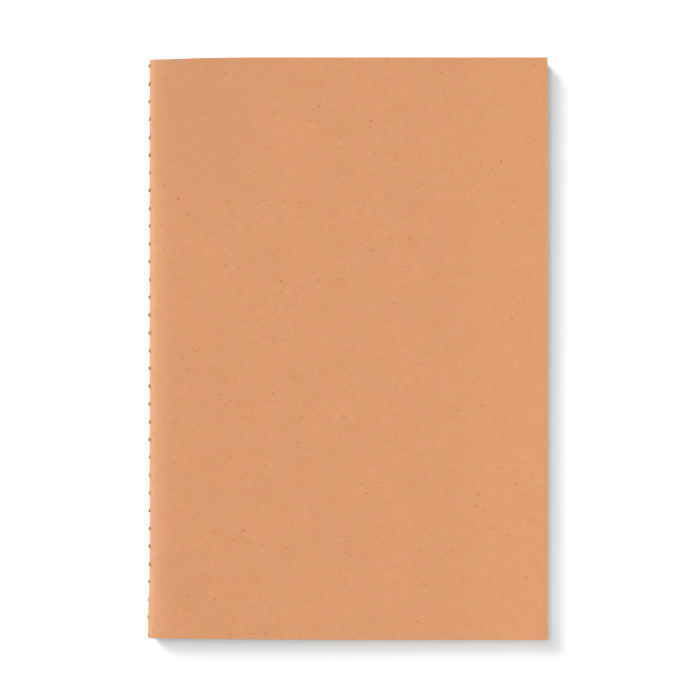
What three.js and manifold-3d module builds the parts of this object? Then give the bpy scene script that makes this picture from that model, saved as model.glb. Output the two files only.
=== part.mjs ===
// A thread-sewn notebook in a kraft card cover, closed and lying on its back cover.
// Millimetres. +X points from the spine to the fore edge, +Y to the head, +Z up.
// The origin is the middle of the footprint, on the surface that the notebook lies on.
import * as THREE from 'three';
import { mergeVertices } from 'three/addons/utils/BufferGeometryUtils.js';
import Module from 'manifold-3d';

// Cover and sheets
const HEIGHT = 210; // head to tail, of the cover and of every leaf
const WIDTH = 144; // outside of the fold to the trimmed fore edge
const CARD_THICKNESS = 0.35;
const PAPER_THICKNESS = 0.12;
const SHEET_COUNT = 16; // folded sheets, two leaves each, nested in one another
const LAYER_GAP = 0.02; // air between neighbouring layers

// Sewing
const THREAD_DIAMETER = 0.28;
const CORE_CLEARANCE = 0.06; // round the inner thread, inside the middle sheet's fold
const CARD_UNDER_SEAM = 0.1; // card left where the outer thread has pressed into the fold
const SEAM_CLEARANCE = 0.01; // under and beside the outer thread in its groove
const STITCH_PITCH = 6.45;
const HEAD_MARGIN = 2.45; // head edge to the first stitch hole
const STITCH_RISE = 0.34; // height of the thread's arch beside a hole, over its straight run
const ARCH_TOP = 0.35; // hole's centre to the top of each arch
const ARCH_FOOT = 0.65; // hole's centre to where the arch meets the straight run
const INNER_DIP = 0.1; // how far the inner thread is drawn into each hole
const INNER_FOOT = 0.5; // hole's centre to where the inner thread runs straight again
const HOLE_WIDTH = 0.36;
const HOLE_LENGTH = 0.6;

// Facets
const COVER_ARC_STEPS = 6; // per quarter turn of the card's fold
const SHEET_ARC_STEPS = 4;
const THREAD_SIDES = 6;
const HOLE_SIDES = 8;

// Radii of the nested folds, about one line midway between the covers
const threadRadius = THREAD_DIAMETER / 2;
const layerPitch = PAPER_THICKNESS + LAYER_GAP;
const coreRadius = threadRadius + CORE_CLEARANCE;
const sheetInnerRadius = (sheet) => coreRadius + (sheet - 1) * layerPitch;
const coverInnerRadius = coreRadius + SHEET_COUNT * layerPitch;
const coverOuterRadius = coverInnerRadius + CARD_THICKNESS;
const grooveFloorRadius = coverInnerRadius + CARD_UNDER_SEAM;
const outerThreadLine = grooveFloorRadius + SEAM_CLEARANCE + threadRadius;
const archRadius = outerThreadLine + STITCH_RISE + threadRadius;

// Places
const foreEdgeX = (WIDTH + archRadius - coverOuterRadius) / 2;
const foldX = foreEdgeX - WIDTH + coverOuterRadius; // where the flat panels and leaves begin
const foldZ = coverOuterRadius;
const leafLength = foreEdgeX - foldX;

const wasm = await Module();
wasm.setup();

function toSolid(geometry) {
  geometry.deleteAttribute('normal');
  geometry.deleteAttribute('uv');
  const merged = mergeVertices(geometry);
  return new wasm.Manifold(
    new wasm.Mesh({
      numProp: 3,
      vertProperties: merged.attributes.position.array,
      triVerts: new Uint32Array(merged.index.array),
    }),
  );
}

function toGeometry(solid) {
  const mesh = solid.getMesh();
  const geometry = new THREE.BufferGeometry();
  geometry.setAttribute('position', new THREE.BufferAttribute(mesh.vertProperties, 3));
  geometry.setIndex(new THREE.BufferAttribute(mesh.triVerts, 1));
  return geometry;
}

const kraftCard = () =>
  new THREE.MeshStandardMaterial({ color: '#dd9c70', roughness: 0.92, metalness: 0 });
const textPaper = () =>
  new THREE.MeshStandardMaterial({ color: '#f3eee2', roughness: 0.95, metalness: 0 });
const sewingThread = () =>
  new THREE.MeshStandardMaterial({ color: '#8d7767', roughness: 0.85, metalness: 0 });

const notebook = new THREE.Group();

function addPiece(name, geometry, material, x, z) {
  const mesh = new THREE.Mesh(geometry, material);
  mesh.name = name;
  mesh.position.set(x, 0, z);
  notebook.add(mesh);
}

// Flat panels and leaves run from the fold to the fore edge, given by their innermost
// distance from the middle plane. side is 1 in the front half and -1 in the back half.
function addFlat(name, side, innerOffset, thickness, material) {
  const geometry = new THREE.BoxGeometry(leafLength, HEIGHT, thickness);
  const z = foldZ + side * (innerOffset + thickness / 2);
  addPiece(name, geometry, material, foldX + leafLength / 2, z);
}

// Half a ring round the fold's line, open towards the fore edge, as long as the notebook
function foldGeometry(innerRadius, thickness, arcSteps) {
  const outline = new THREE.Shape();
  outline.absarc(0, 0, innerRadius + thickness, Math.PI / 2, Math.PI * 1.5, false);
  outline.absarc(0, 0, innerRadius, Math.PI * 1.5, Math.PI / 2, true);
  const geometry = new THREE.ExtrudeGeometry(outline, {
    depth: HEIGHT,
    curveSegments: arcSteps,
    bevelEnabled: false,
  });
  return geometry.translate(0, 0, -HEIGHT / 2).rotateX(Math.PI / 2);
}

// The holes stand in a row from the head, as far as a whole stitch fits before the tail
const holeCount = 1 + Math.floor((HEIGHT - HEAD_MARGIN - ARCH_FOOT) / STITCH_PITCH);
const holePlaces = Array.from(
  { length: holeCount },
  (_, index) => HEIGHT / 2 - HEAD_MARGIN - index * STITCH_PITCH,
);

// A row of needle holes through the back of a fold, from its inside to past its outside
function punch(solid, outerRadius) {
  return holePlaces.reduce((punched, y) => {
    const needle = new THREE.CylinderGeometry(
      HOLE_WIDTH / 2,
      HOLE_WIDTH / 2,
      outerRadius * 2,
      HOLE_SIDES,
    );
    needle.scale(HOLE_LENGTH / HOLE_WIDTH, 1, 1).rotateZ(Math.PI / 2);
    needle.translate(-outerRadius, y, 0);
    return punched.subtract(toSolid(needle));
  }, solid);
}

function coverSpineGeometry() {
  const card = toSolid(foldGeometry(coverInnerRadius, CARD_THICKNESS, COVER_ARC_STEPS));
  const grooveDepth = archRadius - grooveFloorRadius;
  const grooveWidth = THREAD_DIAMETER + 2 * SEAM_CLEARANCE;
  const groove = new THREE.BoxGeometry(grooveDepth, HEIGHT + THREAD_DIAMETER, grooveWidth);
  groove.translate(-grooveFloorRadius - grooveDepth / 2, 0, 0);
  return toGeometry(punch(card.subtract(toSolid(groove)), coverOuterRadius));
}

function middleFoldGeometry() {
  const fold = toSolid(foldGeometry(coreRadius, PAPER_THICKNESS, SHEET_ARC_STEPS));
  return toGeometry(punch(fold, coreRadius + PAPER_THICKNESS));
}

// A thread along the spine. stitch lists [distance towards the tail, distance outwards]
// from each hole; between holes the thread runs straight.
function threadGeometry(stitch) {
  const stations = [
    [HEIGHT / 2, 0],
    ...holePlaces.flatMap((y) => stitch.map(([along, out]) => [y - along, out])),
    [-HEIGHT / 2, 0],
  ];
  const steps = stations.length - 1;
  const geometry = new THREE.CylinderGeometry(
    threadRadius,
    threadRadius,
    HEIGHT,
    THREAD_SIDES,
    steps,
  );
  geometry.rotateY(Math.PI / THREAD_SIDES);
  const position = geometry.attributes.position;
  for (let index = 0; index < position.count; index += 1) {
    const row = Math.round((0.5 - position.getY(index) / HEIGHT) * steps);
    const [y, out] = stations[row];
    position.setXYZ(index, position.getX(index) - out, y, position.getZ(index));
  }
  return geometry;
}

const outerStitch = [
  [-ARCH_FOOT, 0],
  [-ARCH_TOP, STITCH_RISE],
  [0, -CARD_UNDER_SEAM],
  [ARCH_TOP, STITCH_RISE],
  [ARCH_FOOT, 0],
];
const innerStitch = [
  [-INNER_FOOT, 0],
  [0, INNER_DIP],
  [INNER_FOOT, 0],
];

// Kraft card cover: one folded card, as two panels and the fold between them
addFlat('front_cover', 1, coverInnerRadius, CARD_THICKNESS, kraftCard());
addFlat('back_cover', -1, coverInnerRadius, CARD_THICKNESS, kraftCard());
addPiece('cover_spine', coverSpineGeometry(), kraftCard(), foldX, foldZ);

// Sheets, numbered from the middle of the notebook outwards
for (let sheet = 1; sheet <= SHEET_COUNT; sheet += 1) {
  const name = `sheet_${String(sheet).padStart(2, '0')}`;
  const innerRadius = sheetInnerRadius(sheet);
  const fold =
    sheet === 1
      ? middleFoldGeometry()
      : foldGeometry(innerRadius, PAPER_THICKNESS, SHEET_ARC_STEPS);
  addFlat(`${name}_front_leaf`, 1, innerRadius, PAPER_THICKNESS, textPaper());
  addFlat(`${name}_back_leaf`, -1, innerRadius, PAPER_THICKNESS, textPaper());
  addPiece(`${name}_fold`, fold, textPaper(), foldX, foldZ);
}

// Sewing threads, one on each side of the folds
addPiece('outer_thread', threadGeometry(outerStitch), sewingThread(), foldX - outerThreadLine, foldZ);
addPiece('inner_thread', threadGeometry(innerStitch), sewingThread(), foldX, foldZ);

export default notebook;
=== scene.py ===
"""A thread-sewn notebook in a kraft card cover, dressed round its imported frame."""
import math

import bmesh
import bpy
from bpy.props import FloatProperty, FloatVectorProperty, IntProperty, PointerProperty
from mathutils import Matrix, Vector, noise


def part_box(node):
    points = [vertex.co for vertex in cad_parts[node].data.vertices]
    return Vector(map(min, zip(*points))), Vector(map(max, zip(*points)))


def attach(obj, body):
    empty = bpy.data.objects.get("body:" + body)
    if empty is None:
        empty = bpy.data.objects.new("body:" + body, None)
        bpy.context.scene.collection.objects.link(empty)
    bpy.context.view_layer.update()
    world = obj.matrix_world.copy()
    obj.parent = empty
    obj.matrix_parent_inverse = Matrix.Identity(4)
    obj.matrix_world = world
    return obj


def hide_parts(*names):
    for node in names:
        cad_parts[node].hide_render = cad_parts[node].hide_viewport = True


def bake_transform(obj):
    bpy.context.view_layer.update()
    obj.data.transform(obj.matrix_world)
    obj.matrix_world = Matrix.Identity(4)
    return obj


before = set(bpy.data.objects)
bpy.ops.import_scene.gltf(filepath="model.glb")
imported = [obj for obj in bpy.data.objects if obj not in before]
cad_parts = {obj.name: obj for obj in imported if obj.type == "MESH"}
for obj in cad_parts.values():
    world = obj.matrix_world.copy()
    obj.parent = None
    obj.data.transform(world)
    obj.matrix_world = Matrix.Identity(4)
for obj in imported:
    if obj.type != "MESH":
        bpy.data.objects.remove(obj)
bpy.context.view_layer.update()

bl_info = {
    "name": "Sewn Kraft Notebook",
    "version": (1, 0, 0),
    "blender": (4, 5, 0),
    "location": "3D View > Sidebar > Notebook",
    "description": "Builds a thread-sewn kraft notebook: card cover, nested sheets, seam and stage",
    "category": "Add Mesh",
}

MM = 0.001

# The fold's line and the closed notebook's edges, from the frame
spine_low, spine_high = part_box("cover_spine")
panel_low, panel_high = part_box("front_cover")
FOLD_X = spine_high[0]
FOLD_Z = (spine_low[2] + spine_high[2]) / 2
COVER_RADIUS = spine_high[2] - FOLD_Z
CARD = panel_high[2] - panel_low[2]
FORE_EDGE = panel_high[0]
HEAD = panel_high[1]
TAIL = panel_low[1]
SHEETS = sum(name.endswith("_front_leaf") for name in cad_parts)

# How closely the two middle leaves lie when the gap between them has closed
LEAF_TO_LEAF = 0.03 * MM
middle_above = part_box("sheet_01_front_leaf")[0][2]
middle_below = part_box("sheet_01_back_leaf")[1][2]
MIDDLE_GAP = middle_above - middle_below - LEAF_TO_LEAF

# The front half's lie
SHOULDER_START = 0.5  # where the shoulder starts, in cover radii outside the fold's line
DROOP_START = 0.375  # where the droop starts, in widths of the front half
SWELL_LOSS = 0.25  # share of the swell that is missing at head and tail

# The cut edges and the line of the fold
TRIM_DEPTH = 2 * MM  # how far in from head and tail the card is moved with the cut
FLARE_RUN = 0.85  # share of the flare's length over which it grows
WAVE_LENGTH = 26 * MM
WAVE_MIDDLE = 0.4  # how far out the fold's wandering is centred, in waves
PUSH_START = 0.4  # where the push outwards starts, in cover radii inside the fold's line

# The fore edges of the sheets, which don't quite line up
LEAF_UNEVEN = 0.08 * MM
LEAF_WAVE = 40 * MM

# The mesh of a folded piece: rows in mm from a hole, columns in widths from the fold
PLAIN_ROWS = 28
ROWS_BY_HOLE = (0.0, 0.1, 0.2, 0.27, 0.3, 0.4, 0.6, 0.9, 1.3, 2.0)
END_ROW = 0.2 * MM
COLUMNS_BY_FOLD = (0.004, 0.01, 0.018, 0.028, 0.04, 0.055, 0.075, 0.1, 0.13, 0.17, 0.22, 0.29)
COLUMNS_BEYOND = (0.38, 0.48, 0.6, 0.73, 0.87, 1.0)
COVER_ARC_STEPS = 20
SHEET_ARC_STEPS = 4
CREASE = math.radians(40)

# How far apart the patterns of two layers are taken, so that no two look alike
LAYER_STEP = 0.01
INSIDE_STEPS = 3

# The card by a stitch, in reaches of a dent where it isn't an angle
HOLE_SPREAD = 1.2  # angle round the fold over which a hole's opening evens out
DENT_PLACE = 0.4  # from the hole towards the tail
RIDGE_PLACE = 0.8  # from the hole towards the head
DENT_MIDDLE = 1.4  # from the seam round the fold to where a dent is deepest

# The thread
STEPS_PER_LAY = 9
PLY_OVERLAP = 1.1  # how much thicker a ply is than its room, so that the plies touch
FLUSH_LENGTH = 14 * MM  # length at the tail over which the stitches come to lie flush

# The front half laid flat, from the seam to the fore edge and from the middle up, in mm
COVER_RUN = (FORE_EDGE - FOLD_X + COVER_RADIUS * math.pi / 2) / MM
COVER_TOP = HEAD / MM

# The floor, which fades into the surround between two distances in mm
FLOOR_HALF_WIDTH = 20
FLOOR_DROP = 0.02 * MM
FLOOR_FADES_FROM = 160
FLOOR_FADED_AT = 850
HORIZON = 0.93  # brightness of the surround, and of the floor far away


# Sizes and colours


class CoverSizes(bpy.types.PropertyGroup):
    """How the closed notebook's front half lies, and how its edges are trimmed."""

    pinch: FloatProperty(
        name="Pinch",
        description="How far the seam draws the front half down at the fold",
        default=0.33 * MM,
        unit="LENGTH",
    )
    shoulder: FloatProperty(
        name="Shoulder",
        description="How far the front half rises again right beside the fold",
        default=0.27 * MM,
        unit="LENGTH",
    )
    shoulder_reach: FloatProperty(
        name="Shoulder Reach",
        description="Distance from the fold over which most of the shoulder is reached",
        default=3.5 * MM,
        unit="LENGTH",
    )
    swell: FloatProperty(
        name="Swell",
        description="How far the loose leaves lift the front half towards its middle",
        default=0.06 * MM,
        unit="LENGTH",
    )
    swell_reach: FloatProperty(
        name="Swell Reach",
        description="Distance from the fold over which most of the swell is reached",
        default=20 * MM,
        unit="LENGTH",
    )
    droop: FloatProperty(
        name="Droop",
        description="How far the fore edge lies below the middle",
        default=0.05 * MM,
        unit="LENGTH",
    )
    flare: FloatProperty(
        name="Flare",
        description="How far the fold stands out at the tail",
        default=0.52 * MM,
        unit="LENGTH",
    )
    flare_length: FloatProperty(
        name="Flare Length",
        description="Length of the fold that stands out at the tail",
        default=24 * MM,
        unit="LENGTH",
    )
    wave: FloatProperty(
        name="Wave",
        description="How far the fold wanders in and out between head and tail",
        default=0.16 * MM,
        unit="LENGTH",
    )
    head_trim: FloatProperty(
        name="Head Trim",
        description="How far the head edge is cut short at the fold",
        default=0.7 * MM,
        unit="LENGTH",
    )
    head_trim_reach: FloatProperty(
        name="Head Trim Reach",
        description="Distance from the fold over which the head edge runs out",
        default=18 * MM,
        unit="LENGTH",
    )
    tail_trim: FloatProperty(
        name="Tail Trim",
        description="How far the tail edge is cut short at the fold",
        default=0.56 * MM,
        unit="LENGTH",
    )
    tail_trim_reach: FloatProperty(
        name="Tail Trim Reach",
        description="Distance from the fold over which the tail edge runs out",
        default=46 * MM,
        unit="LENGTH",
    )
    fore_trim: FloatProperty(
        name="Fore Trim",
        description="How far the fore edge is cut short at the head",
        default=0.16 * MM,
        unit="LENGTH",
    )


class SeamSizes(bpy.types.PropertyGroup):
    """The row of stitches along the spine."""

    pitch: FloatProperty(
        name="Pitch",
        description="Distance from hole to hole",
        default=6.45 * MM,
        unit="LENGTH",
    )
    margin: FloatProperty(
        name="Margin",
        description="Distance from the head to the first hole",
        default=2.45 * MM,
        unit="LENGTH",
    )
    arch_top: FloatProperty(
        name="Arch Top",
        description="Distance from a hole to the top of the thread's arch beside it",
        default=0.35 * MM,
        unit="LENGTH",
    )
    arch_foot: FloatProperty(
        name="Arch Foot",
        description="Distance from a hole to where the thread lies down again",
        default=0.65 * MM,
        unit="LENGTH",
    )
    arch_rise: FloatProperty(
        name="Arch Rise",
        description="How far the arch stands over the straight run",
        default=0.3 * MM,
        unit="LENGTH",
    )
    tuck: FloatProperty(
        name="Tuck",
        description="How far the thread is drawn back in, over the middle of a hole",
        default=0.03 * MM,
        unit="LENGTH",
    )
    knot: FloatProperty(
        name="Knot",
        description="Thickness of the loop at a hole, in diameters of the thread",
        default=1.9,
        min=1,
    )
    draw: FloatProperty(
        name="Draw",
        description="How far the inner thread is drawn into each hole",
        default=0.1 * MM,
        unit="LENGTH",
    )
    hole_width: FloatProperty(
        name="Hole Width",
        description="Width of a needle hole across the fold",
        default=0.36 * MM,
        unit="LENGTH",
    )
    hole_length: FloatProperty(
        name="Hole Length",
        description="Length of a needle hole along the fold",
        default=0.6 * MM,
        unit="LENGTH",
    )
    groove_depth: FloatProperty(
        name="Groove Depth",
        description="How deep the outer thread has pressed into the card",
        default=0.24 * MM,
        unit="LENGTH",
    )
    groove_reach: FloatProperty(
        name="Groove Reach",
        description="Distance over which the card rises out of the groove",
        default=0.5 * MM,
        unit="LENGTH",
    )
    slant: FloatProperty(
        name="Slant",
        description="How far a stitch climbs the front of the fold on its hole's tail side",
        default=0.4 * MM,
        unit="LENGTH",
    )
    uneven: FloatProperty(
        name="Unevenness",
        description="How far one stitch differs from the next",
        default=0.22 * MM,
        unit="LENGTH",
    )
    dent: FloatProperty(
        name="Dent",
        description="How deep a stitch draws the card in beside its hole",
        default=0.2 * MM,
        unit="LENGTH",
    )
    ridge: FloatProperty(
        name="Ridge",
        description="How high the card is pushed up on a hole's head side",
        default=0.14 * MM,
        unit="LENGTH",
    )
    dent_reach: FloatProperty(
        name="Dent Reach",
        description="Distance over which a dent or ridge runs out",
        default=0.9 * MM,
        unit="LENGTH",
    )
    thread: FloatProperty(
        name="Thread",
        description="Diameter of the sewing thread",
        default=0.28 * MM,
        unit="LENGTH",
    )
    lay: FloatProperty(
        name="Lay",
        description="Length along the thread in which a ply goes once round",
        default=1.1 * MM,
        unit="LENGTH",
    )
    plies: IntProperty(
        name="Plies",
        description="Number of plies twisted into the thread",
        default=3,
        min=2,
        max=4,
    )


class Finishes(bpy.types.PropertyGroup):
    """The colours of card, paper and thread."""

    kraft: FloatVectorProperty(
        name="Kraft",
        description="The card's main tone",
        subtype="COLOR",
        size=3,
        default=(0.608, 0.279, 0.1325),
    )
    fleck: FloatVectorProperty(
        name="Fleck",
        description="Dark flecks of bark in the card",
        subtype="COLOR",
        size=3,
        default=(0.36, 0.13, 0.045),
    )
    paper: FloatVectorProperty(
        name="Paper",
        description="The sheets",
        subtype="COLOR",
        size=3,
        default=(0.765, 0.718, 0.632),
    )
    thread: FloatVectorProperty(
        name="Thread",
        description="The sewing thread",
        subtype="COLOR",
        size=3,
        default=(0.335, 0.225, 0.172),
    )


class StageSettings(bpy.types.PropertyGroup):
    """Floor, light and camera."""

    camera_height: FloatProperty(
        name="Camera Height",
        description="Height of the camera over the top of the cover",
        default=0.35,
        unit="LENGTH",
    )
    field: FloatProperty(
        name="Field",
        description="Width that the picture takes in, at the top of the cover",
        default=252.2 * MM,
        unit="LENGTH",
    )
    off_centre: FloatVectorProperty(
        name="Off Centre",
        description="Where the camera stands over the cover, from its middle",
        subtype="TRANSLATION",
        size=2,
        default=(0.65 * MM, -0.445 * MM),
    )
    low_power: FloatProperty(
        name="Low Lamp",
        description="Power of the low soft lamp beyond the head and the spine",
        default=153,
        unit="POWER",
    )
    high_power: FloatProperty(
        name="High Lamp",
        description="Power of the large high lamp above the head and the spine",
        default=77,
        unit="POWER",
    )
    fill_power: FloatProperty(
        name="Fill Lamp",
        description="Power of the small near lamp by the tail and the fore edge",
        default=0.68,
        unit="POWER",
    )
    surround: FloatProperty(
        name="Surround",
        description="Light from the pale surround",
        default=0.11,
        min=0,
    )


# Materials


class Finish:
    """A node material under construction, with the colour laid so far. mm holds each
    point's place in mm: on the object, or with laid_flat in the layer when laid flat."""

    def __init__(self, name, colour, laid_flat=False):
        self.material = bpy.data.materials.new(name)
        self.material.use_nodes = True
        self.tree = self.material.node_tree
        self.shader = self.tree.nodes["Principled BSDF"]
        self.colour = colour
        if laid_flat:
            self.mm = self.add("ShaderNodeAttribute", attribute_name="flat").outputs["Vector"]
        else:
            place = self.add("ShaderNodeTexCoord").outputs["Object"]
            self.mm = self.add(
                "ShaderNodeVectorMath", {0: place, "Scale": 1 / MM}, operation="SCALE"
            ).outputs[0]

    def add(self, kind, inputs=None, **settings):
        made = self.tree.nodes.new(kind)
        for key, value in settings.items():
            setattr(made, key, value)
        for key, value in (inputs or {}).items():
            if isinstance(value, bpy.types.NodeSocket):
                self.tree.links.new(value, made.inputs[key])
            else:
                made.inputs[key].default_value = value
        return made

    def worked_out(self, operation, *values):
        """The result of a sum on numbers or sockets."""
        inputs = dict(enumerate(values))
        return self.add("ShaderNodeMath", inputs, operation=operation).outputs[0]

    def times(self, a, b):
        return self.worked_out("MULTIPLY", a, b)

    def plus(self, a, b):
        return self.worked_out("ADD", a, b)

    def unsigned(self, value):
        return self.worked_out("ABSOLUTE", value)

    def noise(self, per_mm, detail=3, vector=None, roughness=0.5):
        return self.add(
            "ShaderNodeTexNoise",
            {
                "Vector": vector or self.mm,
                "Scale": per_mm,
                "Detail": detail,
                "Roughness": roughness,
            },
        ).outputs["Fac"]

    def drawn_out(self, turn, per_mm, stretch):
        """Coordinates drawn out along a direction in the sheet's plane."""
        scale = (per_mm / stretch, per_mm, per_mm)
        inputs = {"Vector": self.mm, "Rotation": (0, 0, turn), "Scale": scale}
        return self.add("ShaderNodeMapping", inputs).outputs[0]

    def strands(self, turn, per_mm, stretch, detail=1):
        """Noise drawn out along a direction in the sheet's plane."""
        return self.noise(1, detail, self.drawn_out(turn, per_mm, stretch))

    def ramp(self, value, low, high, to_low=0.0, to_high=1.0):
        return self.add(
            "ShaderNodeMapRange",
            {
                "Value": value,
                "From Min": low,
                "From Max": high,
                "To Min": to_low,
                "To Max": to_high,
            },
            interpolation_type="SMOOTHSTEP",
        ).outputs[0]

    def within(self, distance, full, none, strength=1.0):
        """strength up to the distance full, running out to 0 at none."""
        return self.ramp(distance, full, none, strength, 0.0)

    def beyond(self, distance, none, full, strength=1.0):
        """0 up to the distance none, growing to strength at full."""
        return self.ramp(distance, none, full, 0.0, strength)

    def clouds(self, per_mm, detail, spread, roughness=0.5):
        """0 to 1 in clouds. spread is how far to each side of the middle their edges run."""
        cloud = self.noise(per_mm, detail, roughness=roughness)
        return self.ramp(cloud, 0.5 - spread, 0.5 + spread)

    def flecks(self, per_mm, radius, rarity, stretch=1.0, turn=0.0):
        """1 inside scattered grains, 0 elsewhere. rarity is the share of cells left empty."""
        inputs = {"Vector": self.drawn_out(turn, per_mm, stretch), "Scale": 1.0}
        cells = self.add("ShaderNodeTexVoronoi", inputs)
        near = self.within(cells.outputs["Distance"], 0.5 * radius, radius)
        parts = self.add("ShaderNodeSeparateColor", {0: cells.outputs["Color"]})
        kept = self.beyond(parts.outputs[0], rarity, rarity + 0.05)
        return self.times(near, kept)

    def hairs(self, per_mm, shift, thin, rarity):
        """1 on thin curling lines broken into short lengths, 0 elsewhere."""
        inputs = {"Vector": self.mm, "Location": (shift, shift, shift)}
        moved = self.add("ShaderNodeMapping", inputs).outputs[0]
        off = self.unsigned(self.plus(self.noise(per_mm, 1, moved), -0.5))
        line = self.within(off, 0.4 * thin, 1.4 * thin)
        kept = self.beyond(self.noise(1.3 * per_mm, 0, moved), rarity, rarity + 0.04)
        return self.times(line, kept)

    def over(self, share, colour, strength=None):
        """Lays a colour over the one so far by a share, at a strength."""
        if strength is not None:
            share = self.times(share, strength)
        made = self.add("ShaderNodeMix", data_type="RGBA")
        # The node's input 0 is the share, its inputs 6 and 7 and its output 2 are colours
        for index, value in ((0, share), (6, self.colour), (7, colour)):
            if isinstance(value, bpy.types.NodeSocket):
                self.tree.links.new(value, made.inputs[index])
            else:
                made.inputs[index].default_value = (*value, 1)
        self.colour = made.outputs[2]

    def bump(self, height, distance):
        inputs = {"Height": height, "Distance": distance, "Strength": 1.0}
        normal = self.add("ShaderNodeBump", inputs).outputs[0]
        self.tree.links.new(normal, self.shader.inputs["Normal"])

    def finish(self, roughness, specular, sheen=0.0):
        self.tree.links.new(self.colour, self.shader.inputs["Base Color"])
        self.shader.inputs["Roughness"].default_value = roughness
        self.shader.inputs["Specular IOR Level"].default_value = specular
        self.shader.inputs["Sheen Weight"].default_value = sheen
        return self.material


def tinted(colour, red, green, blue):
    """The colour with each of its parts times a share of its own."""
    return tuple(part * share for part, share in zip(colour, (red, green, blue)))


def scaled(colour, share):
    """The colour made darker by a share under 1, or lighter by one over 1."""
    return tinted(colour, share, share, share)


def lay_clouds(card, tone):
    """The clouds of an uneven pulp, from broad to small, and a tinge in streaks."""
    pink = tinted(tone, 1.08, 0.97, 1.02)
    dull = tinted(tone, 0.935, 0.905, 0.89)
    cool = tinted(tone, 0.99, 1.0, 1.1)
    brown = tinted(tone, 0.945, 0.92, 0.93)
    olive = tinted(tone, 0.92, 1.02, 0.92)
    card.over(card.clouds(0.06, 5, spread=0.15, roughness=0.7), pink)
    card.over(card.clouds(0.05, 5, spread=0.12, roughness=0.7), dull, 0.9)
    card.over(card.clouds(0.11, 3, spread=0.12, roughness=0.6), cool, 0.7)
    card.over(card.clouds(0.3, 2, spread=0.2), brown, 0.85)
    streaks = card.strands(turn=1.1, per_mm=0.36, stretch=1.3, detail=2)
    card.over(card.ramp(streaks, 0.3, 0.7), olive, 0.55)


def paint_card_light_and_shade(card, tone, out, up):
    """A paler fore edge, a painted highlight and painted sheen along the fold, and painted shade by
    the fold's head.
    """
    # The card lighter towards the fore edge
    paler_fore_edge = card.beyond(out, COVER_RUN - 45, COVER_RUN - 8, 0.4)
    # Painted highlight: the card lighter beside the fold, where its shoulder catches the light
    painted_highlight_by_fold = card.within(out, 2.5, 11.0, 0.9)
    # Painted shade: the card darker towards the head, near the fold
    painted_shade_at_head = card.times(card.beyond(up, 35, 85), card.within(out, 15, 60, 0.45))
    # Painted sheen: the card paler and greyer right at the outside of the fold
    painted_sheen_on_fold = card.within(out, 1.0, 4.4, 0.9)
    card.over(paler_fore_edge, tinted(tone, 1.03, 1.05, 1.02))
    card.over(painted_highlight_by_fold, tinted(tone, 1.04, 1.16, 1.27))
    card.over(painted_shade_at_head, tinted(tone, 0.88, 0.89, 0.96))
    card.over(painted_sheen_on_fold, tinted(tone, 0.80, 1.0, 1.25))


def lay_fibres(card, tone):
    """Curling hairs and short straight fibres, dark and pale. Gives back the fibres' noises."""
    for shift in (7, 31, 97):
        dark_hairs = card.hairs(per_mm=0.36, shift=shift, thin=0.012, rarity=0.57)
        card.over(dark_hairs, tinted(tone, 0.87, 0.79, 0.74), 0.5)
    pale_hairs = card.hairs(per_mm=0.5, shift=53, thin=0.017, rarity=0.62)
    card.over(pale_hairs, tinted(tone, 1.08, 1.22, 1.36), 0.45)
    fibres = [card.strands(turn, per_mm=1.25, stretch=3.2) for turn in (0.08, 1.5, 2.5)]
    for fibre, strength in zip(fibres, (0.52, 0.5, 0.36)):
        card.over(card.ramp(fibre, 0.66, 0.78), tinted(tone, 0.83, 0.73, 0.66), strength)
        card.over(card.ramp(fibre, 0.32, 0.22), tinted(tone, 1.08, 1.18, 1.28), strength)
    return fibres


def scatter_flecks(card, tone, fleck):
    """Soft grains, dark bits of bark, small chips and pale chaff."""
    grain = card.flecks(per_mm=0.26, radius=0.15, rarity=0.55, stretch=1.8, turn=1.0)
    bark = card.flecks(per_mm=0.15, radius=0.048, rarity=0.45, stretch=1.3, turn=0.6)
    chips = card.flecks(per_mm=0.24, radius=0.1, rarity=0.45, stretch=1.5, turn=1.9)
    chaff = card.flecks(per_mm=0.16, radius=0.06, rarity=0.5, stretch=1.8, turn=2.0)
    card.over(grain, fleck, 0.3)
    card.over(bark, scaled(fleck, 0.55))
    card.over(chips, fleck, 0.4)
    card.over(chaff, tinted(tone, 1.22, 1.32, 1.5), 0.6)


def paint_shadow_by_holes(card, tone, out, up):
    """Painted shadow on the card beside the needle holes, on their tail side, at some holes more
    than at others.
    """
    seam = bpy.context.scene.notebook_seam
    first_hole = (HEAD - seam.margin) / MM
    half_pitch = seam.pitch / 2 / MM
    nearest = card.worked_out("WRAP", up, first_hole + half_pitch, first_hole - half_pitch)
    past = card.plus(nearest, -first_hole)
    towards_tail = 0.3
    off = card.unsigned(card.plus(past, towards_tail))
    # Painted shadow: the card darker just past each hole towards the tail, where the stitch's
    # pucker shades it
    painted_shadow = card.times(card.within(off, 0.2, 1.1, 0.5), card.within(out, 1.5, 3.5))
    by_hole = card.ramp(card.noise(0.13, 0), 0.38, 0.62, 0.2, 1.8)
    card.over(painted_shadow, tinted(tone, 0.72, 0.62, 0.6), by_hole)


def rub_edges(card, tone, out, up):
    """The cut edges: a dull burr at head and tail, and a rubbed fore edge."""
    burr = card.beyond(card.unsigned(up), COVER_TOP - 0.45, COVER_TOP - 0.15, 0.8)
    rubbed = card.beyond(out, COVER_RUN - 1.6, COVER_RUN - 0.9, 0.5)
    card.over(burr, tinted(tone, 0.86, 0.95, 1.08))
    card.over(rubbed, tinted(tone, 0.94, 1.03, 1.12))


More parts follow.
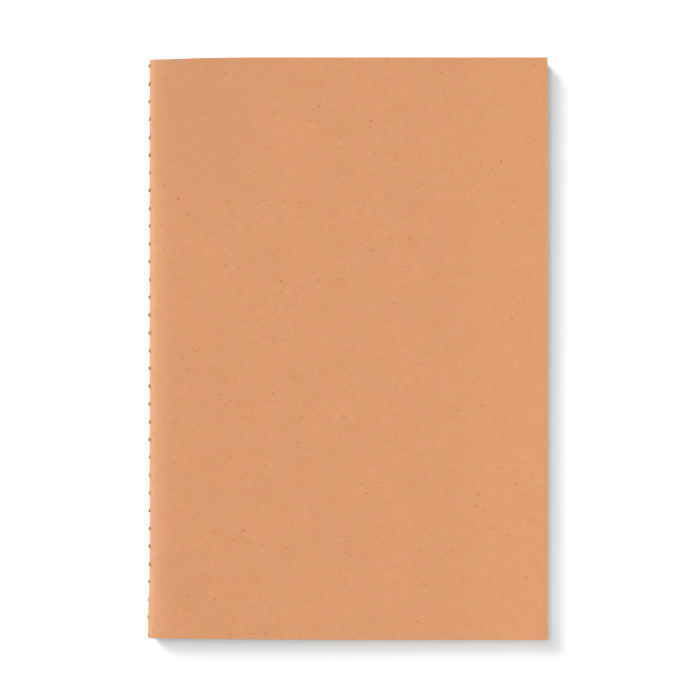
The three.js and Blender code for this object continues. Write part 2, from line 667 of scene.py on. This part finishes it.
def flecked_kraft(finishes):
    """Uncoated kraft card: clouds, fibres and flecks, a paler fore edge and worn cut edges, with
    painted light and shade along the fold, by its head and beside the holes.
    """
    tone = tuple(finishes.kraft)
    straw = tinted(tone, 0.99, 1.03, 0.96)
    card = Finish("flecked_kraft", straw, laid_flat=True)
    parts = card.add("ShaderNodeSeparateXYZ", {0: card.mm})
    out = card.unsigned(parts.outputs[0])
    up = parts.outputs[1]
    lay_clouds(card, tone)
    paint_card_light_and_shade(card, tone, out, up)
    fibres = lay_fibres(card, tone)
    scatter_flecks(card, tone, tuple(finishes.fleck))
    paint_shadow_by_holes(card, tone, out, up)
    rub_edges(card, tone, out, up)
    lying = card.plus(fibres[0], card.plus(fibres[1], fibres[2]))
    tooth = card.noise(2.4, 3)
    card.bump(card.plus(card.times(lying, 0.6), card.times(tooth, 0.4)), 0.011 * MM)
    return card.finish(roughness=0.9, specular=0.2)


def writing_paper(finishes):
    """Uncoated writing paper: faintly cloudy, with faint fibres and a fine tooth."""
    tone = tuple(finishes.paper)
    paper = Finish("writing_paper", scaled(tone, 0.975), laid_flat=True)
    paper.over(paper.clouds(0.5, 3, spread=0.15), tone)
    fibre = paper.strands(turn=0.3, per_mm=2.2, stretch=5)
    paper.over(paper.ramp(fibre, 0.66, 0.8), scaled(tone, 0.9), 0.25)
    paper.bump(paper.noise(5.0, 4), 0.012 * MM)
    return paper.finish(roughness=0.95, specular=0.15)


def thread_finish(finishes):
    """Twisted thread, lighter and darker along its plies."""
    tone = tuple(finishes.thread)
    thread = Finish("twisted_thread", scaled(tone, 0.72))
    thread.over(thread.clouds(1.6, 4, spread=0.2), scaled(tone, 1.25))
    thread.bump(thread.strands(turn=1.2, per_mm=14, stretch=4, detail=2), 0.02 * MM)
    return thread.finish(roughness=0.8, specular=0.2, sheen=0.2)


def floor_paint():
    """Pale matt paint that fades into the surround away from the notebook."""
    paint = Finish("floor_paint", (0.9, 0.9, 0.9))
    paint.over(paint.noise(0.01, 2), (0.91, 0.91, 0.91))
    away = paint.add("ShaderNodeVectorMath", {0: paint.mm}, operation="LENGTH")
    far = paint.ramp(away.outputs["Value"], FLOOR_FADES_FROM, FLOOR_FADED_AT)
    paint.over(far, (0, 0, 0))
    paint.shader.inputs["Emission Color"].default_value = (1, 1, 1, 1)
    glow = paint.times(far, HORIZON)
    paint.tree.links.new(glow, paint.shader.inputs["Emission Strength"])
    return paint.finish(roughness=0.9, specular=0.0)


def finish_named(name, make):
    """The material of that name, made once."""
    return bpy.data.materials.get(name) or make(bpy.context.scene.notebook_finishes)


# Shapes


def holes(seam):
    """Places of the needle holes along the spine, from head to tail."""
    room = HEAD - TAIL - seam.margin - seam.arch_foot
    return [HEAD - seam.margin - n * seam.pitch for n in range(1 + int(room / seam.pitch))]


def ease(share):
    """0 to 1, slow at both ends."""
    share = min(max(share, 0.0), 1.0)
    return share * share * (3 - 2 * share)


def nearest_hole(y, seam):
    """How far y lies past the nearest needle hole's middle, towards the tail."""
    turns = (HEAD - seam.margin - y) / seam.pitch
    last = len(holes(seam)) - 1
    return (min(max(round(turns), 0), last) - turns) * -seam.pitch


def unlike(y, seam, kind):
    """About -0.5 to 0.5, different at each hole and for each kind of difference."""
    number = round((HEAD - seam.margin - y) / seam.pitch)
    # The steps miss whole numbers, where this noise is always 0
    return noise.noise(Vector((3.7 * number, 5.3 * kind, 0.5)))


def lift(x, y, cover):
    """How far the top of the closed notebook stands over the flat frame at a place."""
    run = max(x - FOLD_X + SHOULDER_START * COVER_RADIUS, 0.0)
    width = FORE_EDGE - FOLD_X
    shoulder = cover.shoulder * (1 - math.exp(-run / cover.shoulder_reach))
    swell = cover.swell * (1 - math.exp(-run / cover.swell_reach))
    swell *= 1 - SWELL_LOSS * (2 * y / (HEAD - TAIL)) ** 4
    droop = cover.droop * ease((run / width - DROOP_START) / (1 - DROOP_START))
    return shoulder + swell - cover.pinch - droop


def trimmed(point, cover):
    """A point moved with the cut that trimmed the head, tail and fore edges."""
    run = abs(point.x - FOLD_X + COVER_RADIUS)
    head = cover.head_trim * math.exp(-((run / cover.head_trim_reach) ** 2))
    tail = cover.tail_trim * math.exp(-((run / cover.tail_trim_reach) ** 2))
    head *= ease((point.y - HEAD) / TRIM_DEPTH + 1)
    tail *= ease((TAIL - point.y) / TRIM_DEPTH + 1)
    fore = cover.fore_trim * ((point.y - TAIL) / (HEAD - TAIL)) ** 2
    fore *= max(point.x - FOLD_X, 0) / (FORE_EDGE - FOLD_X)
    return point + Vector((-fore, tail - head, 0))


def stand_out(y, cover):
    """How far the outside of the fold stands out from its line, at a place along it."""
    flare = cover.flare * ease((cover.flare_length - y + TAIL) / (FLARE_RUN * cover.flare_length))
    return flare + cover.wave * (WAVE_MIDDLE + noise.noise(Vector((0, 0, y / WAVE_LENGTH))))


def pushed_out(point, cover):
    """A point moved out with the fold, which stands out most at its outside."""
    share = ease((FOLD_X - point.x) / COVER_RADIUS + PUSH_START)
    return point - Vector((stand_out(point.y, cover) * share, 0, 0))


def rows_along(seam, fine):
    """Places of the rows of a folded piece from head to tail, close together at the holes."""
    if not fine:
        return [HEAD + (TAIL - HEAD) * n / PLAIN_ROWS for n in range(PLAIN_ROWS + 1)]
    offsets = {side * off * MM for off in ROWS_BY_HOLE for side in (-1, 1)}
    rows = {round(y + offset, 7) for y in holes(seam) for offset in offsets}
    rows = {y for y in rows if TAIL + END_ROW < y < HEAD - END_ROW}
    return sorted(rows | {HEAD, TAIL}, reverse=True)


def columns_across():
    """Places of the columns of a flat panel, from next to the fold to the fore edge."""
    width = FORE_EDGE - FOLD_X
    return [FOLD_X + width * share for share in COLUMNS_BY_FOLD + COLUMNS_BEYOND]


def line_of_rows(bm, start, rows):
    """The edges of a straight line of vertices, one at each row."""
    vert = bmesh.ops.create_vert(bm, co=start)["vert"][0]
    for before, after in zip(rows, rows[1:]):
        vert = bmesh.ops.extrude_vert_indiv(bm, verts=[vert])["verts"][0]
        bmesh.ops.translate(bm, verts=[vert], vec=(0, after - before, 0))
    return bm.edges[:]


def draw_out(bm, line):
    """A line of edges over the fold, extruded column by column to the fore edge."""
    at = FOLD_X
    for x in columns_across():
        grown = bmesh.ops.extrude_edge_only(bm, edges=line)["geom"]
        line = [part for part in grown if isinstance(part, bmesh.types.BMEdge)]
        corners = [part for part in grown if isinstance(part, bmesh.types.BMVert)]
        bmesh.ops.translate(bm, verts=corners, vec=(x - at, 0, 0))
        at = x


def folded_half(name, side, inner, thickness, arc_steps, fine, shape, number=0):
    """Half of a folded layer as a closed mesh: a line from head to tail is spun round the
    fold, extruded to the fore edge, given its thickness inwards and then shaped. inner is
    the layer's distance from the middle plane, side is 1 for the front half and -1 for the
    back, and shape moves each point, told its angle round the fold and its depth in the
    layer. The attribute "flat" keeps where each point lies when the layer is laid flat."""
    rows = rows_along(bpy.context.scene.notebook_seam, fine)
    outer = inner + thickness
    bm = bmesh.new()
    line = line_of_rows(bm, Vector((FOLD_X, rows[0], FOLD_Z + side * outer)), rows)
    bmesh.ops.spin(
        bm,
        geom=bm.verts[:] + line,
        cent=(FOLD_X, 0, FOLD_Z),
        axis=(0, 1, 0),
        angle=-side * math.pi / 2,
        steps=arc_steps,
        use_duplicate=False,
    )
    draw_out(bm, line)
    bmesh.ops.remove_doubles(bm, verts=bm.verts[:], dist=1e-7)
    bmesh.ops.recalc_face_normals(bm, faces=bm.faces[:])
    if sum(face.normal.z for face in bm.faces) * side < 0:
        bmesh.ops.reverse_faces(bm, faces=bm.faces[:])
    bmesh.ops.solidify(bm, geom=bm.faces[:], thickness=thickness)
    flat = bm.verts.layers.float_vector.new("flat")
    for vert in bm.verts:
        out = max(FOLD_X - vert.co.x, 0.0)
        up = abs(vert.co.z - FOLD_Z)
        angle = math.atan2(up, out)
        depth = (outer - math.hypot(out, up)) / thickness
        run = outer * angle + max(vert.co.x - FOLD_X, 0.0)
        layer = (number + INSIDE_STEPS * depth) * LAYER_STEP
        vert[flat] = Vector((side * run, vert.co.y, layer)) / MM
        vert.co = shape(vert.co, angle, depth)
    return mesh_object(name, bm)


def mesh_object(name, bm):
    """The bmesh as a new object with smooth faces and sharp cut edges."""
    mesh = bpy.data.meshes.new(name)
    bmesh.ops.recalc_face_normals(bm, faces=bm.faces[:])
    bm.to_mesh(mesh)
    bm.free()
    mesh.shade_smooth()
    mesh.set_sharp_from_angle(angle=CREASE)
    made = bpy.data.objects.new(name, mesh)
    bpy.context.scene.collection.objects.link(made)
    return made


def settle(point, angle, share, cover):
    """A point of the front half, moved as the block swells and the gap inside it closes.
    share is how far out its layer lies, from 0 at the middle plane to 1 at the cover."""
    raised = share * lift(point.x, point.y, cover)
    run = max(point.x - FOLD_X, 0.0)
    closed = (1 - share) * MIDDLE_GAP * ease(run / cover.swell_reach)
    return point + Vector((0, 0, (raised - closed) * math.sin(angle)))


def round_fold(point, side, radius, angle):
    """The point's place on the fold at a radius and an angle from the seam."""
    out, up = radius * math.cos(angle), radius * math.sin(angle)
    return Vector((FOLD_X - out, point.y, FOLD_Z + side * up))


def needle_hole(point, side, angle, seam):
    """A point of a fold, moved aside where a needle hole opens."""
    radius = math.hypot(FOLD_X - point.x, point.z - FOLD_Z)
    inside = 1 - (2 * nearest_hole(point.y, seam) / seam.hole_length) ** 2
    if inside <= 0 or angle > HOLE_SPREAD:
        return point
    opening = seam.hole_width / 2 * math.sqrt(inside) / radius
    return round_fold(point, side, radius, angle + opening * (1 - ease(angle / HOLE_SPREAD)))


def pressed(point, side, angle, seam):
    """A point on the outside of the fold, pressed in under the thread, dented where a
    stitch climbs the fold and pushed up on the other side of its hole."""
    if point.x > FOLD_X:
        return point
    radius = math.hypot(FOLD_X - point.x, point.z - FOLD_Z)
    across = angle * radius
    past = nearest_hole(point.y, seam)
    reach = seam.dent_reach
    dent = seam.dent * (1 - ease(abs(past - DENT_PLACE * reach) / reach))
    ridge = seam.ridge * (1 - ease(abs(past + RIDGE_PLACE * reach) / reach))
    off_middle = abs(across / (DENT_MIDDLE * reach) - 1)
    relief = (dent - ridge) * (1 - ease(off_middle))
    in_groove = 1 - ease(across / seam.groove_reach)
    inward = in_groove * seam.groove_depth + (1 - in_groove) * relief
    return round_fold(point, side, radius - inward, angle)


def fold_ends(side, radius, share, cover):
    """Where the bend starts, at the seam, and ends, at the flat part."""
    top = FOLD_Z + side * radius
    if side > 0:
        top += share * lift(FOLD_X, 0, cover)
    return (FOLD_X - radius, 0, FOLD_Z), (FOLD_X, 0, top)


# Operators


class NOTEBOOK_OT_cover(bpy.types.Operator):
    """The kraft card cover, folded round the sheets"""

    bl_idname = "notebook.cover"
    bl_label = "Card Cover"

    def execute(self, context):
        for side, half in ((1, "front"), (-1, "back")):
            self.add_half(context.scene, side, half)
        return {"FINISHED"}

    def add_half(self, scene, side, half):
        cover, seam = scene.notebook_cover, scene.notebook_seam

        def shape(point, angle, depth):
            if depth < 0.5:
                point = pressed(point, side, angle, seam)
            if point.x < FOLD_X:
                point = needle_hole(point, side, angle, seam)
            if side > 0:
                point = settle(point, angle, 1, cover)
            return trimmed(pushed_out(point, cover), cover)

        inner = COVER_RADIUS - CARD
        piece = folded_half(f"kraft_{half}", side, inner, CARD, COVER_ARC_STEPS, True, shape)
        piece.data.materials.append(finish_named("flecked_kraft", flecked_kraft))
        start, end = fold_ends(side, COVER_RADIUS, 1, cover)
        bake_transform(piece)
        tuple(start)
        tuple(end)
        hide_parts(f"{half}_cover", "cover_spine")


class NOTEBOOK_OT_sheets(bpy.types.Operator):
    """The folded text sheets, nested from the middle outwards"""

    bl_idname = "notebook.sheets"
    bl_label = "Text Sheets"

    def execute(self, context):
        for number in range(1, SHEETS + 1):
            for side, half in ((1, "front"), (-1, "back")):
                self.add_leaf(context.scene, number, side, half)
        return {"FINISHED"}

    def add_leaf(self, scene, number, side, half):
        cover, seam = scene.notebook_cover, scene.notebook_seam
        sheet = f"sheet_{number:02d}"
        low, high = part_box(f"{sheet}_{half}_leaf")
        thickness = high[2] - low[2]
        inner = min(abs(high[2] - FOLD_Z), abs(low[2] - FOLD_Z))
        share = (inner + thickness / 2) / (COVER_RADIUS - CARD)
        middle = number == 1

        def shape(point, angle, depth):
            if middle and point.x < FOLD_X:
                point = needle_hole(point, side, angle, seam)
            if side > 0:
                point = settle(point, angle, share, cover)
            uneven = noise.noise(Vector((number, side, point.y / LEAF_WAVE))) * LEAF_UNEVEN
            across = uneven * ease((point.x - FOLD_X) / FORE_EDGE)
            return trimmed(pushed_out(point, cover), cover) + Vector((across, 0, 0))

        steps = SHEET_ARC_STEPS + number // 3
        piece = folded_half(
            f"{sheet}_{half}", side, inner, thickness, steps, middle, shape, number
        )
        piece.data.materials.append(finish_named("writing_paper", writing_paper))
        start, end = fold_ends(side, inner + thickness, share, cover)
        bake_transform(piece)
        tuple(start)
        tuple(end)
        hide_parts(f"{sheet}_{half}_leaf", f"{sheet}_fold")


def twisted_thread(name, route, seam):
    """A thread of plies wound round a route. route gives the thread's x, z and how much
    thicker it is, at a place along Y."""
    step = seam.lay / STEPS_PER_LAY
    count = int((HEAD - TAIL) / step)
    # The radius at which the plies touch and together just fill the thread's width
    ply = seam.thread / 2 / (1 + 1 / math.sin(math.pi / seam.plies))
    curve = bpy.data.curves.new(name, "CURVE")
    curve.dimensions = "3D"
    curve.bevel_depth = ply * PLY_OVERLAP
    curve.bevel_resolution = 1
    curve.use_fill_caps = True
    for strand in range(seam.plies):
        spline = curve.splines.new("POLY")
        spline.points.add(count)
        for index, point in enumerate(spline.points):
            y = HEAD - (HEAD - TAIL) * index / count
            turn = math.tau * ((HEAD - y) / seam.lay + strand / seam.plies)
            x, z, thicker = route(y)
            wander = (seam.thread / 2 - ply) * thicker
            lean = math.atan((route(y + step)[0] - route(y - step)[0]) / (2 * step))
            across = wander * math.cos(turn)
            place = (x + across * math.cos(lean), y - across * math.sin(lean))
            point.co = (*place, z + wander * math.sin(turn), 1)
            point.radius = thicker
    made = bpy.data.objects.new(name, curve)
    bpy.context.scene.collection.objects.link(made)
    bpy.context.view_layer.update()
    solid = made.evaluated_get(bpy.context.evaluated_depsgraph_get())
    mesh = bpy.data.meshes.new_from_object(solid)
    bpy.data.objects.remove(made)
    bpy.data.curves.remove(curve)
    bm = bmesh.new()
    bm.from_mesh(mesh)
    bpy.data.meshes.remove(mesh)
    bmesh.ops.remove_doubles(bm, verts=bm.verts[:], dist=1e-8)
    return mesh_object(name, bm)


class NOTEBOOK_OT_outer_thread(bpy.types.Operator):
    """The needle thread along the outside of the spine"""

    bl_idname = "notebook.outer_thread"
    bl_label = "Outer Thread"

    def execute(self, context):
        seam = context.scene.notebook_seam
        cover = context.scene.notebook_cover
        line = FOLD_X - COVER_RADIUS + seam.groove_depth - seam.thread / 2
        in_place, in_height, in_climb = 1, 2, 3

        def route(y):
            past = nearest_hole(y, seam) + seam.uneven * unlike(y, seam, in_place)
            arch = ease((seam.arch_foot - abs(past)) / (seam.arch_foot - seam.arch_top))
            rise = seam.arch_rise + seam.uneven * unlike(y, seam, in_height)
            rise *= ease((y - TAIL) / FLUSH_LENGTH)
            out = rise * arch - seam.tuck * (1 - ease(abs(past) / seam.arch_top))
            climb = seam.slant * arch * ease(0.5 + past / (2 * seam.arch_foot))
            climb += seam.uneven * unlike(y, seam, in_climb) * arch
            return line - out - stand_out(y, cover), FOLD_Z + climb, 1 + (seam.knot - 1) * arch

        piece = twisted_thread("seam_outside", route, seam)
        piece.data.materials.append(finish_named("twisted_thread", thread_finish))
        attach(piece, "spine")
        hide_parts("outer_thread")
        return {"FINISHED"}


class NOTEBOOK_OT_inner_thread(bpy.types.Operator):
    """The bobbin thread along the inside of the middle sheet's fold"""

    bl_idname = "notebook.inner_thread"
    bl_label = "Inner Thread"

    def execute(self, context):
        seam = context.scene.notebook_seam
        cover = context.scene.notebook_cover

        def route(y):
            drawn = seam.draw * ease(1 - abs(nearest_hole(y, seam)) / seam.arch_foot)
            place = pushed_out(Vector((FOLD_X - drawn, y, FOLD_Z)), cover)
            return place.x, place.z, 1

        piece = twisted_thread("seam_inside", route, seam)
        piece.data.materials.append(finish_named("twisted_thread", thread_finish))
        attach(piece, "spine")
        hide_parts("inner_thread")
        return {"FINISHED"}


class NOTEBOOK_OT_stage(bpy.types.Operator):
    """A pale floor, three soft lamps, a pale surround and the camera"""

    bl_idname = "notebook.stage"
    bl_label = "Stage"

    def execute(self, context):
        stage = context.scene.notebook_stage
        self.floor()
        self.light(stage)
        self.camera(stage)
        context.scene.view_settings.view_transform = "Standard"
        return {"FINISHED"}

    def floor(self):
        bm = bmesh.new()
        bmesh.ops.create_grid(bm, x_segments=1, y_segments=1, size=FLOOR_HALF_WIDTH)
        bmesh.ops.translate(bm, verts=bm.verts[:], vec=(0, 0, -FLOOR_DROP))
        floor = mesh_object("floor", bm)
        floor.data.materials.append(floor_paint())

    def lamp(self, name, place, size, power):
        lamp = bpy.data.lights.new(name, "AREA")
        lamp.energy = power
        lamp.size = size
        holder = bpy.data.objects.new(name, lamp)
        holder.location = place
        holder.rotation_euler = (-Vector(place)).to_track_quat("-Z", "Y").to_euler()
        holder.visible_camera = False
        bpy.context.scene.collection.objects.link(holder)

    def light(self, stage):
        self.lamp("low_lamp", place=(-2.4, 2.4, 1.65), size=1.5, power=stage.low_power)
        self.lamp("high_lamp", place=(-1.2, 1.2, 3.0), size=2.4, power=stage.high_power)
        self.lamp("fill_lamp", place=(0.3, -0.2, 0.35), size=0.3, power=stage.fill_power)
        world = bpy.data.worlds.new("surround")
        world.use_nodes = True
        tree = world.node_tree
        seen = tree.nodes.new("ShaderNodeLightPath").outputs["Is Camera Ray"]
        bright = tree.nodes.new("ShaderNodeMapRange")
        bright.inputs["To Min"].default_value = stage.surround
        bright.inputs["To Max"].default_value = HORIZON
        tree.links.new(seen, bright.inputs["Value"])
        back = tree.nodes["Background"]
        back.inputs["Color"].default_value = (1, 1, 1, 1)
        tree.links.new(bright.outputs[0], back.inputs["Strength"])
        bpy.context.scene.world = world

    def camera(self, stage):
        lens = bpy.data.cameras.new("camera")
        lens.sensor_width = 36
        lens.lens = lens.sensor_width * stage.camera_height / stage.field
        camera = bpy.data.objects.new("camera", lens)
        top = 2 * COVER_RADIUS
        middle = (FORE_EDGE + FOLD_X - COVER_RADIUS) / 2
        camera.location = (
            middle + stage.off_centre[0],
            stage.off_centre[1],
            top + stage.camera_height,
        )
        bpy.context.scene.collection.objects.link(camera)
        bpy.context.scene.camera = camera


class NOTEBOOK_PT_build(bpy.types.Panel):
    """A button for each kind of piece and for the stage, over their sizes and colours"""

    bl_label = "Sewn Notebook"
    bl_space_type = "VIEW_3D"
    bl_region_type = "UI"
    bl_category = "Notebook"

    def draw(self, context):
        for operator in OPERATORS:
            self.layout.operator(operator.bl_idname)
        for group in SETTINGS:
            box = self.layout.box()
            for name in SETTINGS[group].__annotations__:
                box.prop(getattr(context.scene, group), name)


SETTINGS = {
    "notebook_cover": CoverSizes,
    "notebook_seam": SeamSizes,
    "notebook_finishes": Finishes,
    "notebook_stage": StageSettings,
}
OPERATORS = (
    NOTEBOOK_OT_stage,
    NOTEBOOK_OT_cover,
    NOTEBOOK_OT_sheets,
    NOTEBOOK_OT_outer_thread,
    NOTEBOOK_OT_inner_thread,
)


def register():
    for group, kind in SETTINGS.items():
        bpy.utils.register_class(kind)
        setattr(bpy.types.Scene, group, PointerProperty(type=kind))
    for kind in (*OPERATORS, NOTEBOOK_PT_build):
        bpy.utils.register_class(kind)


def unregister():
    for kind in (NOTEBOOK_PT_build, *reversed(OPERATORS)):
        bpy.utils.unregister_class(kind)
    for group, kind in SETTINGS.items():
        delattr(bpy.types.Scene, group)
        bpy.utils.unregister_class(kind)


def main():
    register()
    bpy.ops.notebook.stage()
    bpy.ops.notebook.cover()
    bpy.ops.notebook.sheets()
    bpy.ops.notebook.outer_thread()
    bpy.ops.notebook.inner_thread()


if __name__ == "__main__":
    main()
